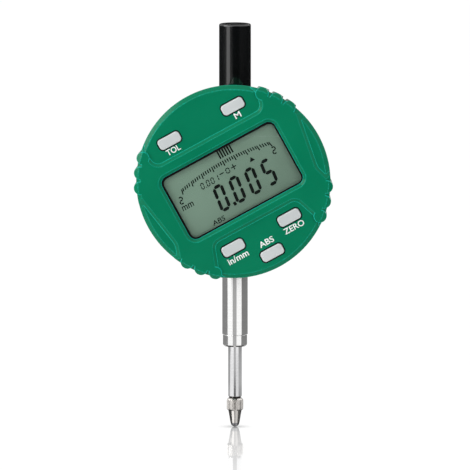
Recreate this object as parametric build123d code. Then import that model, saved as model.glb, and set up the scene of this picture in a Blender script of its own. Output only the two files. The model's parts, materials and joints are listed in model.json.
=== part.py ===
from build123d import *
import os
from math import atan2, cos, degrees, radians, sin

# A digital indicator in millimetres. A round display head turns on a flat round case, and
# the case carries the clamping stem, the sprung spindle and its ball contact.
# The origin is on the spindle's axis, at the middle of the stem's clamping length.
# +Z points up the spindle and -Y towards the reader.
# Head and case are drawn flat, with depth measured towards the reader from the spindle's
# axis, and are then stood upright round the dial's centre.

# Fits
seat_gap = 0.03  # round a piece that is fixed in its seat
run_gap = 0.04  # round a shaft that turns or slides
slide_gap = 0.10  # beside a flat piece that slides

# Heights along the spindle, from the middle of the clamping length
stem_below = 9.5
dial_height = 40.5
travel = 12.7

# Head. The sizes across its face are for a radius of 30.5 and grow with the radius.
head_radius = 30.5
face_unit = head_radius / 30.5
head_roll = 28.8
head_half_turn = 160.0
face_front = 18.0
housing_back = 7.9
skirt_wall = 2.1 * face_unit
face_wall = 1.8
rim_slope = 1.4
rim_drop = 1.1
rim_round = 0.35
rear_taper = 1.0
rear_chamfer = 0.4
ridge_round = 0.25

# Sunk fields of the face: depth, width of the slope round them, and outlines
field_drop = 0.6
field_slope = 1.0
upper_field_edge = 15.0 * face_unit
upper_field_half = 19.6 * face_unit
upper_field_flare = 0.21
lower_field_edge = -13.3 * face_unit
lower_field_half = 15.2 * face_unit
lower_field_flare = 0.36
field_round = 3.5 * face_unit
pad_corner = (24.55 * face_unit, -8.6 * face_unit)
pad_lean_up = 0.167
pad_lean_down = 0.32
pad_above = 22.0 * face_unit
pad_below = 10.0 * face_unit
pad_round = 5.0 * face_unit

# Grip ribs on the rim
rib_round = 2.0
rib_height = 0.8
rib_pitch = 9.3
ribs_in_group = 3
rib_groups = (34.0, 146.0, -40.9, -139.1)

# Window, lens and display glass
window_size = (40.4 * face_unit, 22.0 * face_unit)
window_round = 2.4 * face_unit
window_place = (-0.1 * face_unit, 0.55 * face_unit)
window_bevel = 1.0
lens_margin = 1.2 * face_unit
lens_thick = 1.2
glass_margin = 1.3 * face_unit
glass_thick = 1.6
glass_step = 0.6
glass_gap = 0.1
glass_corner = 0.5
frame_wall = 1.7 * face_unit
frame_ledge = 0.5
frame_corner = 1.0
strip_height = 1.3
strip_width = 1.4

# Keys and their switches
key_size = (7.5 * face_unit, 3.45 * face_unit)
key_round = 1.1 * face_unit
key_gap = 0.3
key_proud = 0.4
key_edge = 0.35
key_travel = 0.3
key_flange = 0.7 * face_unit
key_flange_thick = 0.6
key_slack = 0.1
upper_keys = {
    "tol": (-11.3 * face_unit, 21.0 * face_unit),
    "m": (11.35 * face_unit, 21.0 * face_unit),
}
lower_keys = {
    "unit": (-10.0 * face_unit, -18.2 * face_unit),
    "abs": (0.0, -25.4 * face_unit),
    "zero": (10.0 * face_unit, -18.2 * face_unit),
}
switch_size = 4.5 * face_unit
switch_height = 1.8
plunger_radius = 1.1
plunger_depth = 1.1
plunger_gap = 0.05

# Boards, battery and drawer
board_thick = 0.8
board_gap = 0.3
chip_size = 7.0 * face_unit
chip_thick = 0.9
chip_place = 13.0 * face_unit
socket_size = (6.0 * face_unit, 4.0 * face_unit)
socket_height = 1.4
battery_radius = 10.0 * face_unit
battery_thick = 3.2
battery_edge = 0.4
battery_place = -17.0 * face_unit
drawer_wall = 1.35 * face_unit
drawer_floor = 0.4
drawer_inner_end = -10.0 * face_unit
drawer_reach = 5.0 * face_unit
nail_groove = (10.0 * face_unit, 0.8)
contact_thick = 0.2
contact_width = 4.0 * face_unit
contact_shift = 2.2 * face_unit

# Head back, hub and stop
back_thick = 1.5
back_inset = 0.5
turn_gap = 0.3
hub_radius = 5.0 * face_unit
hub_bore = 1.9 * face_unit
hub_height = 2.4
retainer_radius = 6.3 * face_unit
retainer_thick = 0.8
washer_thick = 0.25
stop_reach = 14.0 * face_unit
stop_radius = 1.0
stop_side_gap = 0.15
stop_depth = 0.9
stop_seat = 1.0
cable_radius = 0.75

# Screws: head radius, shank radius, length
head_screw = (1.9, 0.8, 6.0)
back_screw = (2.0, 0.9, 6.5)
rail_screw = (1.5, 0.8, 8.8)
retainer_screw = (1.1, 0.6, 3.6)
carrier_screw_size = (1.0, 0.5, 1.2)
pan_height = 0.8
recess_width = 0.45
recess_reach = 0.6
recess_depth = 0.6
pan_round = 0.3
boss_radius = 2.2 * face_unit
boss_place = (18.8 * face_unit, 16.93 * face_unit)
post_radius = 2.4
post_inset = 5.0
retainer_screw_reach = 3.5 * face_unit
retainer_screw_count = 3

# Case, cover and lug
case_radius = 27.0
case_wall = 1.8
case_front_wall = 1.5
case_back = -7.0
case_chamfer = 1.0
gasket_thick = 0.4
cover_thick = 1.5
lug_width = 15.0
lug_thick = 5.0
lug_hole = 6.5
lug_reach = 13.0
lug_foot_round = 1.5

# Stem, bushes and cap
stem_radius = 4.0
stem_bore = 2.7
spigot_radius = 3.5
lower_boss_radius = 5.5
lower_boss_proud = 4.0
lower_boss_overlap = 4.5
upper_boss_radius = 6.0
upper_boss_overlap = 5.5
upper_boss_proud = 0.6
upper_bush_length = 3.0
upper_bush_radius = 3.2
lower_bush_radius = 3.05
lower_bush_seat = 5.0
ring_radius = 3.8
ring_length = 3.6
ring_groove = 0.25
ring_groove_radius = 3.5
ring_chamfer = 0.5
cap_radius = 5.0
cap_length = 20.55
cap_wall = 1.4
cap_thread_radius = 4.2
cap_edge = 0.45
cap_room = 1.05

# Spindle and contact
spindle_radius = 2.15
spindle_chamfer = 0.3
spindle_spare = 3.45
contact_thread_radius = 1.25
contact_thread_length = 6.0
neck_radius = 1.8
neck_length = 0.35
collar_radius = 2.6
collar_chamfer = 0.5
collar_length = 3.95
knurl_count = 30
knurl_depth = 0.16
shoulder_length = 0.4
cone_top_radius = 2.0
cone_length = 3.5
cone_bottom_radius = 1.42
ball_radius = 1.35
ball_proud = 1.3

# Measuring parts inside the case
carrier_half = 4.6
carrier_front = 2.9
carrier_back = -3.4
carrier_round = 1.0
buffer_radius = 4.2
buffer_thick = 1.9
buffer_gap = 0.1
scale_thick = 0.7
scale_half = 4.2
scale_inset = 0.5
sensor_size = (11.6, 30.0)
sensor_thick = 0.8
peg_radius = 0.9
peg_inset = (1.5, 2.5)
pin_radius = 1.0
pin_reach = 9.6
rail_outer = 10.9
rail_inner = 6.3
rail_below = 14.5
rail_above = 15.5
rail_half = 2.4
rail_slot_end = 1.5
spring_radius = 3.5
spring_wire = 0.2
spring_turns = 6
spring_room = 3.3

# Heights worked out from the sizes above
stem_top = dial_height - case_radius - lower_boss_proud
stem_bottom = -stem_below
lower_boss_top = dial_height - case_radius + lower_boss_overlap
upper_boss_bottom = dial_height + case_radius - upper_boss_overlap
bush_top = upper_boss_bottom + upper_bush_length
cap_seat = dial_height + case_radius + upper_boss_proud
cap_top = cap_seat + cap_length
spindle_top = cap_top - cap_wall - cap_room - travel
ring_end = stem_bottom - ring_groove - ring_length
spindle_bottom = ring_end - travel - spindle_spare
collar_top = spindle_bottom - neck_length
collar_end = collar_top - collar_length
cone_top = collar_end - shoulder_length
cone_bottom = cone_top - cone_length
tip_bottom = cone_bottom - ball_proud
carrier_bottom = lower_boss_top + buffer_thick + buffer_gap
carrier_length = upper_boss_bottom - spring_room - travel - carrier_bottom
carrier_top = carrier_bottom + carrier_length
pin_height = (carrier_bottom + carrier_top) / 2
rail_bottom = dial_height - rail_below
rail_top = dial_height + rail_above

# Depths in front of the spindle's axis, worked out from the sizes above
field_front = face_front - field_drop
face_inside = face_front - face_wall
skirt_inside = head_radius - skirt_wall
lens_front = face_front - window_bevel
lens_back = lens_front - lens_thick
glass_front = lens_back - glass_gap
glass_back = glass_front - glass_thick
board_front = glass_back - strip_height
board_back = board_front - board_thick
head_back_rear = housing_back - back_thick
case_front = head_back_rear - turn_gap
case_inside = case_front - case_front_wall
hub_end = case_front + hub_height
case_inner_radius = case_radius - case_wall
cover_front = case_back - gasket_thick
cover_back = cover_front - cover_thick
drawer_back = housing_back + slide_gap
battery_back = drawer_back + drawer_floor
drawer_front = battery_back + battery_thick
key_flange_front = face_inside - key_slack
key_foot = key_flange_front - key_flange_thick
switch_front = board_front + switch_height
post_reach = case_radius - post_inset

every_key = {**upper_keys, **lower_keys}
centred_up = (Align.CENTER, Align.CENTER, Align.MIN)

# Flat drawings are stood up round the dial's centre: the case upright, the head turned
upright = Plane(origin=(0, 0, dial_height), x_dir=(1, 0, 0), z_dir=(0, -1, 0)).location
turned_head = Plane(
    origin=(0, 0, dial_height),
    x_dir=(cos(radians(head_roll)), 0, sin(radians(head_roll))),
    z_dir=(0, -1, 0),
).location


def turned(corners, rounds=None):
    """A turned piece from its half section, given as (radius, height) corners."""
    points = [(radius, 0, height) for radius, height in corners]
    if rounds is None:
        outline = Polyline(*points, close=True)
    else:
        outline = FilletPolyline(*points, radius=rounds, close=True)
    return revolve(make_face(outline), Axis.Z)


def slab(sketch, low, high):
    """A flat drawing made solid between two depths."""
    return extrude(Pos(0, 0, low) * sketch, high - low)


def rod(radius, low, high):
    """A round rod along Z between two heights."""
    return Pos(0, 0, low) * Cylinder(radius, high - low, align=centred_up)


def rounded(size, growth, corner):
    """A rectangle with round corners, grown on every side."""
    return RectangleRounded(size[0] + 2 * growth, size[1] + 2 * growth, corner + growth)


def four_places(x, y):
    return [(sx * x, sy * y) for sx in (-1, 1) for sy in (-1, 1)]


def cross_recess(radius, depth):
    reach = 2 * recess_reach * radius
    arm = Rectangle(reach, recess_width) + Rectangle(recess_width, reach)
    return slab(arm, 0, depth)


def countersunk(size):
    """A countersunk screw with its head's face at z = 0 and its shank along +Z."""
    head, shank, length = size
    body = turned([(0, 0), (head, 0), (shank, head - shank), (shank, length), (0, length)])
    return body - cross_recess(head, recess_depth * (head - shank))


def pan_head(size):
    """A pan-head screw with its head's face at z = 0 and its shank along +Z."""
    head, shank, length = size
    corners = [(0, 0), (head, 0), (head, pan_height), (shank, pan_height), (shank, length), (0, length)]
    rounds = [0, pan_round * pan_height, 0, 0, 0, 0]
    return turned(corners, rounds) - cross_recess(head, recess_depth * pan_height)


def group(pieces):
    """Separate solids of one node."""
    return Compound([piece.solid() for piece in pieces])


# Front housing


def rim_section(front, growth=0.0):
    """Half section of the head: flat face, sloped and rounded rim, tapered side, rear chamfer."""
    outer = head_radius + growth
    corners = [
        (0, housing_back),
        (outer - rear_taper - rear_chamfer, housing_back),
        (outer - rear_taper, housing_back + rear_chamfer),
        (outer, front - rim_drop),
        (outer - rim_slope, front),
        (0, front),
    ]
    return turned(corners, [0, 0, rim_round, rim_round, rim_round, 0])


def key_field(edge, half, flare):
    """Outline of a sunk key field: a straight inner edge and flared sides past the rim."""
    reach = head_radius * (1 if edge > 0 else -1)
    wide = half + flare * head_radius
    corners = [(-half, edge), (half, edge), (wide, edge + reach), (-wide, edge + reach)]
    return FilletPolyline(*corners, radius=[field_round, field_round, 0, 0], close=True)


def finger_pad(side):
    """Outline of a sunk finger pad: two leaning lines that meet in a round corner."""
    x, y = pad_corner
    outside = x + pad_above
    corners = [
        (side * x, y),
        (side * (x + pad_lean_up * pad_above), y + pad_above),
        (side * outside, y + pad_above),
        (side * outside, y - pad_below),
        (side * (x + pad_lean_down * pad_below), y - pad_below),
    ]
    return FilletPolyline(*corners, radius=[pad_round, 0, 0, 0, 0], close=True)


def field_cutter(outline):
    """The hollow of a sunk field, which narrows along its slope as it deepens."""
    depth = field_drop + rim_drop
    mouth = make_face(outline)
    floor = offset(mouth, -depth * field_slope / field_drop)
    return loft([Pos(0, 0, face_front) * mouth, Pos(0, 0, face_front - depth) * floor], ruled=True)


def grip_ribs():
    """The ribs of every group, cut to the rim's own section."""
    centre = head_radius + rib_height - rib_round
    middle = (ribs_in_group - 1) / 2
    ribs = Sketch()
    for group_angle in rib_groups:
        for index in range(ribs_in_group):
            angle = radians(group_angle + (index - middle) * rib_pitch)
            ribs += Pos(centre * cos(angle), centre * sin(angle)) * Circle(rib_round)
    return slab(ribs, housing_back, face_front) & rim_section(face_front, rib_height)


def window_opening():
    """The bevelled window and the lens's seat behind it."""
    mouth = rounded(window_size, window_bevel, window_round)
    throat = rounded(window_size, 0, window_round)
    bevel = loft([Pos(0, 0, face_front) * mouth, Pos(0, 0, lens_front) * throat], ruled=True)
    seat = slab(rounded(window_size, lens_margin + seat_gap, window_round), face_inside, lens_front)
    return Pos(*window_place) * (bevel + seat)


def drawer_mouth():
    """Notch of the skirt that the battery drawer closes."""
    half = battery_radius + drawer_wall + 2 * slide_gap
    notch = Pos(0, -head_radius) * Rectangle(2 * half, 2 * drawer_reach)
    return slab(notch, housing_back, drawer_front + 2 * slide_gap)


def raised_face():
    """The head with its sunk fields and window cut and the edges round them rounded."""
    raised = rim_section(face_front)
    outlines = [
        key_field(upper_field_edge, upper_field_half, upper_field_flare),
        key_field(lower_field_edge, lower_field_half, lower_field_flare),
        finger_pad(1),
        finger_pad(-1),
    ]
    for outline in outlines:
        raised -= field_cutter(outline)
    raised -= window_opening()
    crease = head_radius - rim_slope - rim_round / 2
    ridges = [
        edge
        for edge in raised.edges()
        if min((edge @ share).Z for share in (0, 0.5, 1)) > face_front - slide_gap
        and Vector((edge @ 0.5).X, (edge @ 0.5).Y).length < crease
    ]
    return fillet(ridges, ridge_round)


def front_housing():
    shell = rim_section(field_front) + raised_face() + grip_ribs()
    shell -= slab(Circle(skirt_inside), housing_back, face_inside)
    shell -= window_opening()
    for place in every_key.values():
        shell -= slab(Pos(*place) * rounded(key_size, key_gap, key_round), face_inside, face_front)
    head, shank, length = head_screw
    for place in four_places(*boss_place):
        shell += slab(Pos(*place) * Circle(boss_radius), housing_back, face_inside)
        pilot = slab(Pos(*place) * Circle(shank + seat_gap), housing_back, head_back_rear + length)
        shell -= pilot
    return shell - drawer_mouth()


# Display


def window_lens():
    return Pos(*window_place) * slab(rounded(window_size, lens_margin, window_round), lens_back, lens_front)


def lcd_panel():
    """Two bonded glasses: the front one is shorter and leaves a contact ledge at each edge."""
    front = rounded(window_size, glass_margin - glass_step, glass_corner)
    back = rounded(window_size, glass_margin, glass_corner)
    middle = (glass_front + glass_back) / 2
    return Pos(*window_place) * (slab(front, middle, glass_front) + slab(back, glass_back, middle))


def lcd_frame():
    """Frame that holds the display glass over the board."""
    outer = rounded(window_size, glass_margin + frame_wall, frame_corner)
    pocket = rounded(window_size, glass_margin + seat_gap, glass_corner)
    throat = rounded(window_size, glass_margin - frame_ledge, glass_corner)
    outer &= Pos(-window_place[0], -window_place[1]) * Circle(skirt_inside - board_gap)
    frame = slab(outer, board_front, face_inside)
    frame -= slab(pocket, glass_back, face_inside)
    frame -= slab(throat, board_front, glass_back)
    return Pos(*window_place) * frame


def contact_strips():
    """The two elastomer strips between the glass and the board."""
    height = window_size[1] / 2 + glass_margin - frame_ledge - strip_width / 2 - seat_gap
    strip = slab(Rectangle(window_size[0] - 2 * strip_width, strip_width), board_front, glass_back)
    return Pos(*window_place) * group(Pos(0, side * height) * strip for side in (-1, 1))


def main_board():
    outline = Circle(skirt_inside - board_gap)
    for place in four_places(*boss_place):
        outline -= Pos(*place) * Circle(boss_radius + board_gap)
    return slab(outline, board_back, board_front)


def driver_chip():
    return slab(Pos(0, chip_place) * Rectangle(chip_size, chip_size), board_back - chip_thick, board_back)


def cable_socket():
    return slab(Rectangle(*socket_size), board_back - socket_height, board_back)


# Keys


def key_cap(place):
    """A key: its cap in the housing's hole and the flange that keeps it there."""
    cap = slab(rounded(key_size, 0, key_round), key_flange_front, field_front + key_proud)
    cap = fillet(cap.faces().sort_by(Axis.Z)[-1].edges(), key_edge)
    flange = slab(rounded(key_size, key_flange, key_round), key_foot, key_flange_front)
    return Pos(*place) * (cap + flange)


def key_plunger(place):
    """The moving button of the switch under a key."""
    top = key_foot - plunger_gap
    return Pos(*place) * rod(plunger_radius, switch_front - plunger_depth, top)


def switch_bodies():
    floor = switch_front - plunger_depth - key_travel - slide_gap
    case = slab(Rectangle(switch_size, switch_size), board_front, switch_front)
    case -= rod(plunger_radius + run_gap, floor, switch_front)
    return group(Pos(*place) * case for place in every_key.values())


# Battery and drawer


def battery():
    can = rod(battery_radius, battery_back, drawer_front)
    can = chamfer(can.edges().filter_by(GeomType.CIRCLE).sort_by(Axis.Z)[-1], battery_edge)
    return Pos(0, battery_place) * can


def battery_drawer():
    """Drawer tray with a round pocket, ended by a piece of the head's rim."""
    half = battery_radius + drawer_wall
    length = drawer_inner_end + head_radius
    tray = Pos(0, drawer_inner_end - length / 2) * Rectangle(2 * half, length)
    body = slab(tray, drawer_back, drawer_front) & rim_section(face_front)
    pocket = Pos(0, battery_place) * Circle(battery_radius + slide_gap)
    body -= slab(pocket, battery_back, drawer_front)
    middle = (drawer_back + drawer_front) / 2
    groove = Pos(0, -head_radius) * Rectangle(nail_groove[0], 2 * nail_groove[1])
    return body - slab(groove, middle - nail_groove[1] / 2, middle + nail_groove[1] / 2)


def battery_contacts():
    """Two spring leaves on the board: one presses the battery's face, the other its edge."""
    edge = battery_place + battery_radius
    low = drawer_front + plunger_gap
    leaf = Pos(-contact_shift, edge - contact_width) * Rectangle(contact_width, 2 * contact_width)
    foot = Pos(-contact_shift, edge) * Rectangle(contact_width, contact_width)
    blade = Pos(contact_shift, edge + plunger_gap + contact_thick / 2) * Rectangle(
        contact_width - 2 * contact_thick, contact_thick
    )
    face_leaf = slab(leaf, low, low + contact_thick) + slab(foot, low, board_back)
    return group([face_leaf, slab(blade, battery_back, board_back)])


# Head back and hub


def stop_track():
    """Arc in the head's back that the case's stop pin runs in."""
    half = stop_radius + stop_side_gap
    end_angle = degrees(atan2(stop_radius, stop_reach))
    sweep_angle = 2 * (head_half_turn + end_angle)
    corners = [
        (stop_reach - half, 0, head_back_rear),
        (stop_reach + half, 0, head_back_rear),
        (stop_reach + half, 0, head_back_rear + stop_depth),
        (stop_reach - half, 0, head_back_rear + stop_depth),
    ]
    section = make_face(Polyline(*corners, close=True))
    start = -90 - sweep_angle / 2
    return Rot(0, 0, start) * revolve(section, Axis.Z, revolution_arc=sweep_angle)


def head_back():
    outer = head_radius - rear_taper - rear_chamfer - back_inset
    corners = [
        (hub_radius + run_gap, head_back_rear),
        (outer - back_inset, head_back_rear),
        (outer, head_back_rear + back_inset),
        (outer, housing_back),
        (hub_radius + run_gap, housing_back),
    ]
    plate = turned(corners) - stop_track()
    head, shank, length = head_screw
    for place in four_places(*boss_place):
        sink = turned([
            (0, 0),
            (head + seat_gap, 0),
            (shank + seat_gap, head - shank),
            (shank + seat_gap, back_thick),
            (0, back_thick),
        ])
        plate -= Pos(*place, head_back_rear) * sink
    return plate


def head_screws():
    return group(Pos(*place, head_back_rear) * countersunk(head_screw) for place in four_places(*boss_place))


def friction_washer():
    """Cone spring between the head's back and the retainer."""
    inner = hub_radius + slide_gap
    outer = retainer_radius - slide_gap
    low = housing_back + plunger_gap
    high = hub_end - washer_thick - plunger_gap
    return turned([(inner, low), (outer, high), (outer, high + washer_thick), (inner, low + washer_thick)])


def retainer_places():
    return PolarLocations(retainer_screw_reach, retainer_screw_count, start_angle=90)


def hub_retainer():
    shank = retainer_screw[1] + seat_gap
    outline = Circle(retainer_radius) - Circle(hub_bore) - retainer_places() * Circle(shank)
    return slab(outline, hub_end, hub_end + retainer_thick)


def retainer_screws():
    turn = Pos(0, 0, hub_end + retainer_thick + pan_height) * Rot(180, 0, 0)
    return group(place * turn * pan_head(retainer_screw) for place in retainer_places())


def stop_pin():
    seat = case_front - stop_seat
    return Pos(0, -stop_reach) * rod(stop_radius, seat, head_back_rear + stop_depth - slide_gap)


def signal_cable():
    """Cable on the axis of the hub, from the sensor board to the socket of the main board."""
    return rod(cable_radius, case_inside, board_back - socket_height - plunger_gap)


# Case


def post_places():
    return PolarLocations(post_reach, 4, start_angle=45)


def rear_case():
    corners = [
        (0, case_inside),
        (case_inner_radius, case_inside),
        (case_inner_radius, case_back),
        (case_radius, case_back),
        (case_radius, case_front - case_chamfer),
        (case_radius - case_chamfer, case_front),
        (0, case_front),
    ]
    shell = turned(corners) + slab(Circle(hub_radius), case_front, hub_end)
    shell += slab(Sketch() + post_places() * Circle(post_radius), case_back, case_inside)
    shell += slab(Sketch() + peg_places() * Circle(peg_radius), case_inside - sensor_thick, case_inside)
    shell -= slab(Circle(hub_bore), case_inside, hub_end)
    pilot = back_screw[1] + seat_gap
    pilot_top = cover_back + back_screw[2]
    shell -= slab(Sketch() + post_places() * Circle(pilot), case_back, pilot_top)
    hole = retainer_screw[1] + seat_gap
    hole_bottom = hub_end + retainer_thick + pan_height - retainer_screw[2]
    shell -= slab(Sketch() + retainer_places() * Circle(hole), hole_bottom, hub_end)
    pin_hole = Pos(0, -stop_reach) * Circle(stop_radius + seat_gap)
    shell -= slab(pin_hole, case_front - stop_seat, case_front)
    shell -= slab(rail_screw_holes(), case_inside, rail_screw_end())
    shell = upright * shell
    lower = rod(lower_boss_radius, stem_top, lower_boss_top)
    upper = rod(upper_boss_radius, upper_boss_bottom, cap_seat)
    shell = shell + lower + upper
    shell -= rod(spigot_radius + seat_gap, stem_top, lower_boss_top)
    shell -= rod(upper_bush_radius + seat_gap, upper_boss_bottom, bush_top)
    return shell - rod(cap_thread_radius + seat_gap, bush_top, cap_seat)


def back_gasket():
    ring = Circle(case_radius - seat_gap) - Circle(case_inner_radius + seat_gap)
    return slab(ring, cover_front, case_back)


def back_cover():
    """Round cover with the lug and its cross hole."""
    corners = [
        (0, cover_back),
        (case_radius - case_chamfer, cover_back),
        (case_radius, cover_back + case_chamfer),
        (case_radius, cover_front),
        (0, cover_front),
    ]
    plate = turned(corners)
    end = cover_back - lug_reach
    centre = end + lug_width / 2
    blade = Pos(0, centre) * Circle(lug_width / 2)
    foot_middle = (centre + cover_front) / 2
    blade += Pos(0, foot_middle) * Rectangle(lug_width, cover_front - centre)
    blade -= Pos(0, centre) * Circle(lug_hole / 2)
    lug = extrude(Plane.YZ * blade, lug_thick / 2, both=True)
    cover = plate + lug
    foot = [
        edge
        for edge in cover.edges().filter_by(GeomType.LINE)
        if abs(edge.center().Z - cover_back) < seat_gap and abs(edge.center().X) < lug_thick
    ]
    cover = fillet(foot, lug_foot_round)
    head, shank, length = back_screw
    for place in post_places():
        sink = turned([
            (0, 0),
            (head + seat_gap, 0),
            (shank + seat_gap, head - shank),
            (shank + seat_gap, cover_thick),
            (0, cover_thick),
        ])
        cover -= place * Pos(0, 0, cover_back) * sink
    return cover


def back_screws():
    return group(place * Pos(0, 0, cover_back) * countersunk(back_screw) for place in post_places())


# Stem, bushes and cap


def stem():
    bush_hole = lower_bush_radius + seat_gap
    return turned([
        (stem_bore, lower_boss_top),
        (spigot_radius, lower_boss_top),
        (spigot_radius, stem_top),
        (stem_radius, stem_top),
        (stem_radius, stem_bottom),
        (bush_hole, stem_bottom),
        (bush_hole, stem_bottom + lower_bush_seat),
        (stem_bore, stem_bottom + lower_bush_seat),
    ])


def stem_bush():
    """Screwed lower guide: its head is the ring at the stem's end."""
    bore = spindle_radius + run_gap
    head_top = stem_bottom - ring_groove
    return turned([
        (bore, stem_bottom + lower_bush_seat),
        (lower_bush_radius, stem_bottom + lower_bush_seat),
        (lower_bush_radius, stem_bottom),
        (ring_groove_radius, stem_bottom),
        (ring_groove_radius, head_top),
        (ring_radius, head_top),
        (ring_radius, ring_end + ring_chamfer),
        (ring_radius - ring_chamfer, ring_end),
        (bore, ring_end),
    ])


def upper_bush():
    bore = spindle_radius + run_gap
    return rod(upper_bush_radius, upper_boss_bottom, bush_top) - rod(bore, upper_boss_bottom, bush_top)


def spindle_cap():
    """Hollow cap that screws into the case over the spindle's upper end."""
    inside = cap_thread_radius - cap_wall / 2
    corners = [
        (inside, bush_top),
        (cap_thread_radius, bush_top),
        (cap_thread_radius, cap_seat),
        (cap_radius, cap_seat),
        (cap_radius, cap_top),
        (0, cap_top),
        (0, cap_top - cap_wall),
        (inside, cap_top - cap_wall),
    ]
    return turned(corners, [0, 0, 0, 0, cap_edge, 0, 0, 0])


# Spindle and contact


def spindle():
    hole = contact_thread_radius + seat_gap
    hole_top = spindle_bottom + contact_thread_length + spindle_chamfer
    return turned([
        (hole, spindle_bottom),
        (spindle_radius - spindle_chamfer, spindle_bottom),
        (spindle_radius, spindle_bottom + spindle_chamfer),
        (spindle_radius, spindle_top - spindle_chamfer),
        (spindle_radius - spindle_chamfer, spindle_top),
        (0, spindle_top),
        (0, hole_top),
        (hole, hole_top),
    ])


def contact_point():
    """Screwed contact: thread, neck, knurled collar and cone with the ball's seat."""
    body = turned([
        (0, spindle_bottom + contact_thread_length),
        (contact_thread_radius, spindle_bottom + contact_thread_length),
        (contact_thread_radius, spindle_bottom),
        (neck_radius, spindle_bottom),
        (neck_radius, collar_top),
        (collar_radius - collar_chamfer, collar_top),
        (collar_radius, collar_top - collar_chamfer),
        (collar_radius, collar_end + collar_chamfer),
        (collar_radius - collar_chamfer, collar_end),
        (cone_top_radius, cone_top),
        (cone_bottom_radius, cone_bottom),
        (0, cone_bottom),
    ])
    tooth = Polygon((0, -knurl_depth), (knurl_depth, 0), (0, knurl_depth), (-knurl_depth, 0), align=None)
    cuts = Sketch() + PolarLocations(collar_radius, knurl_count) * tooth
    body -= slab(cuts, collar_end, collar_top)
    return body - Pos(0, 0, tip_bottom + ball_radius) * Sphere(ball_radius + seat_gap)


def contact_ball():
    return Pos(0, 0, tip_bottom + ball_radius) * Sphere(ball_radius)


# Measuring parts, drawn flat with heights measured from the dial's centre


def level(height):
    """Height above the dial's centre of a height above the origin."""
    return height - dial_height


def scale_carrier():
    """Block clamped on the spindle, with a pocket on each side of the clamp at its back."""
    middle = level((carrier_bottom + carrier_top) / 2)
    outline = Pos(0, middle) * RectangleRounded(2 * carrier_half, carrier_length, carrier_round)
    body = slab(outline, carrier_back, carrier_front)
    pocket_length = (carrier_length - 8 * carrier_round) / 2
    side = (carrier_length - pocket_length) / 2 - carrier_round
    for end in (-1, 1):
        window = Pos(0, middle + end * side) * Rectangle(2 * carrier_half, pocket_length)
        body -= slab(window, carrier_back, carrier_back + carrier_round)
    body -= slab(Pos(0, middle) * Circle(carrier_screw_size[0] + seat_gap), carrier_back, 0)
    body = upright * body
    body -= rod(spindle_radius + seat_gap, carrier_bottom, carrier_top)
    hole = Pos(0, 0, pin_height) * (Rot(0, -90, 0) * rod(pin_radius + seat_gap, 0, carrier_half))
    return body - hole


def carrier_screw():
    """Set screw that clamps the carrier on the spindle."""
    middle = level((carrier_bottom + carrier_top) / 2)
    back = -spindle_radius - seat_gap - carrier_screw_size[2]
    radius, recess, length = carrier_screw_size
    body = rod(radius, back, back + length) - slab(RegularPolygon(recess, 6), back, back + length / 2)
    return Pos(0, middle) * body


def guide_pin():
    """Pin across the carrier that keeps the spindle from turning."""
    inner = spindle_radius + 2 * seat_gap
    return Pos(0, 0, pin_height) * (Rot(0, -90, 0) * rod(pin_radius, inner, pin_reach))


def scale_strip():
    middle = level((carrier_bottom + carrier_top) / 2)
    outline = Pos(0, middle) * Rectangle(2 * scale_half, carrier_length - 2 * scale_inset)
    return slab(outline, carrier_front, carrier_front + scale_thick)


def peg_places():
    return Locations(*four_places(*(size / 2 - inset for size, inset in zip(sensor_size, peg_inset))))


def sensor_board():
    outline = Rectangle(*sensor_size) - peg_places() * Circle(peg_radius + seat_gap)
    return slab(outline, case_inside - sensor_thick, case_inside)


def rail_screw_places():
    middle = -(rail_outer + rail_inner) / 2
    low = level(rail_bottom) + 2 * rail_slot_end
    high = level(rail_top) - 2 * rail_slot_end
    return Locations((middle, low), (middle, high))


def rail_screw_holes():
    return Sketch() + rail_screw_places() * Circle(rail_screw[1] + seat_gap)


def rail_screw_end():
    return -rail_half - pan_height + rail_screw[2]


def guide_rail():
    """Upright rail with the slot that the guide pin runs in."""
    width = rail_outer - rail_inner
    outline = Pos(-rail_inner - width / 2, level((rail_bottom + rail_top) / 2)) * Rectangle(
        width, rail_top - rail_bottom
    )
    body = slab(outline, -rail_half, case_inside)
    slot_low = level(pin_height - pin_radius - rail_slot_end)
    slot_high = level(pin_height + travel + pin_radius + rail_slot_end)
    slot_end = pin_reach + 2 * slide_gap
    slot = Pos(-(slot_end + rail_inner) / 2, (slot_low + slot_high) / 2) * Rectangle(
        slot_end - rail_inner, slot_high - slot_low
    )
    half = pin_radius + run_gap
    body -= slab(slot, -half, half)
    return body - slab(rail_screw_holes(), -rail_half, case_inside)


def rail_screws():
    back = -rail_half - pan_height
    return group(place * Pos(0, 0, back) * pan_head(rail_screw) for place in rail_screw_places())


def lower_buffer():
    outline = Circle(buffer_radius) - Circle(spindle_radius + 2 * slide_gap)
    return slab(outline, lower_boss_top, carrier_bottom - buffer_gap)


def return_spring():
    """Spring round the spindle between the carrier and the upper bush, with closed ends."""
    low = carrier_top + spring_wire + seat_gap
    high = upper_boss_bottom - spring_wire - seat_gap
    path = Helix(pitch=(high - low) / spring_turns, height=high - low, radius=spring_radius)
    section = Plane(origin=path @ 0, z_dir=path % 0) * Circle(spring_wire)
    coil = sweep(section, path=path, is_frenet=True)
    coil += Torus(spring_radius, spring_wire)
    coil += Pos(0, 0, high - low) * Torus(spring_radius, spring_wire)
    return Pos(0, 0, low) * coil


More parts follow.
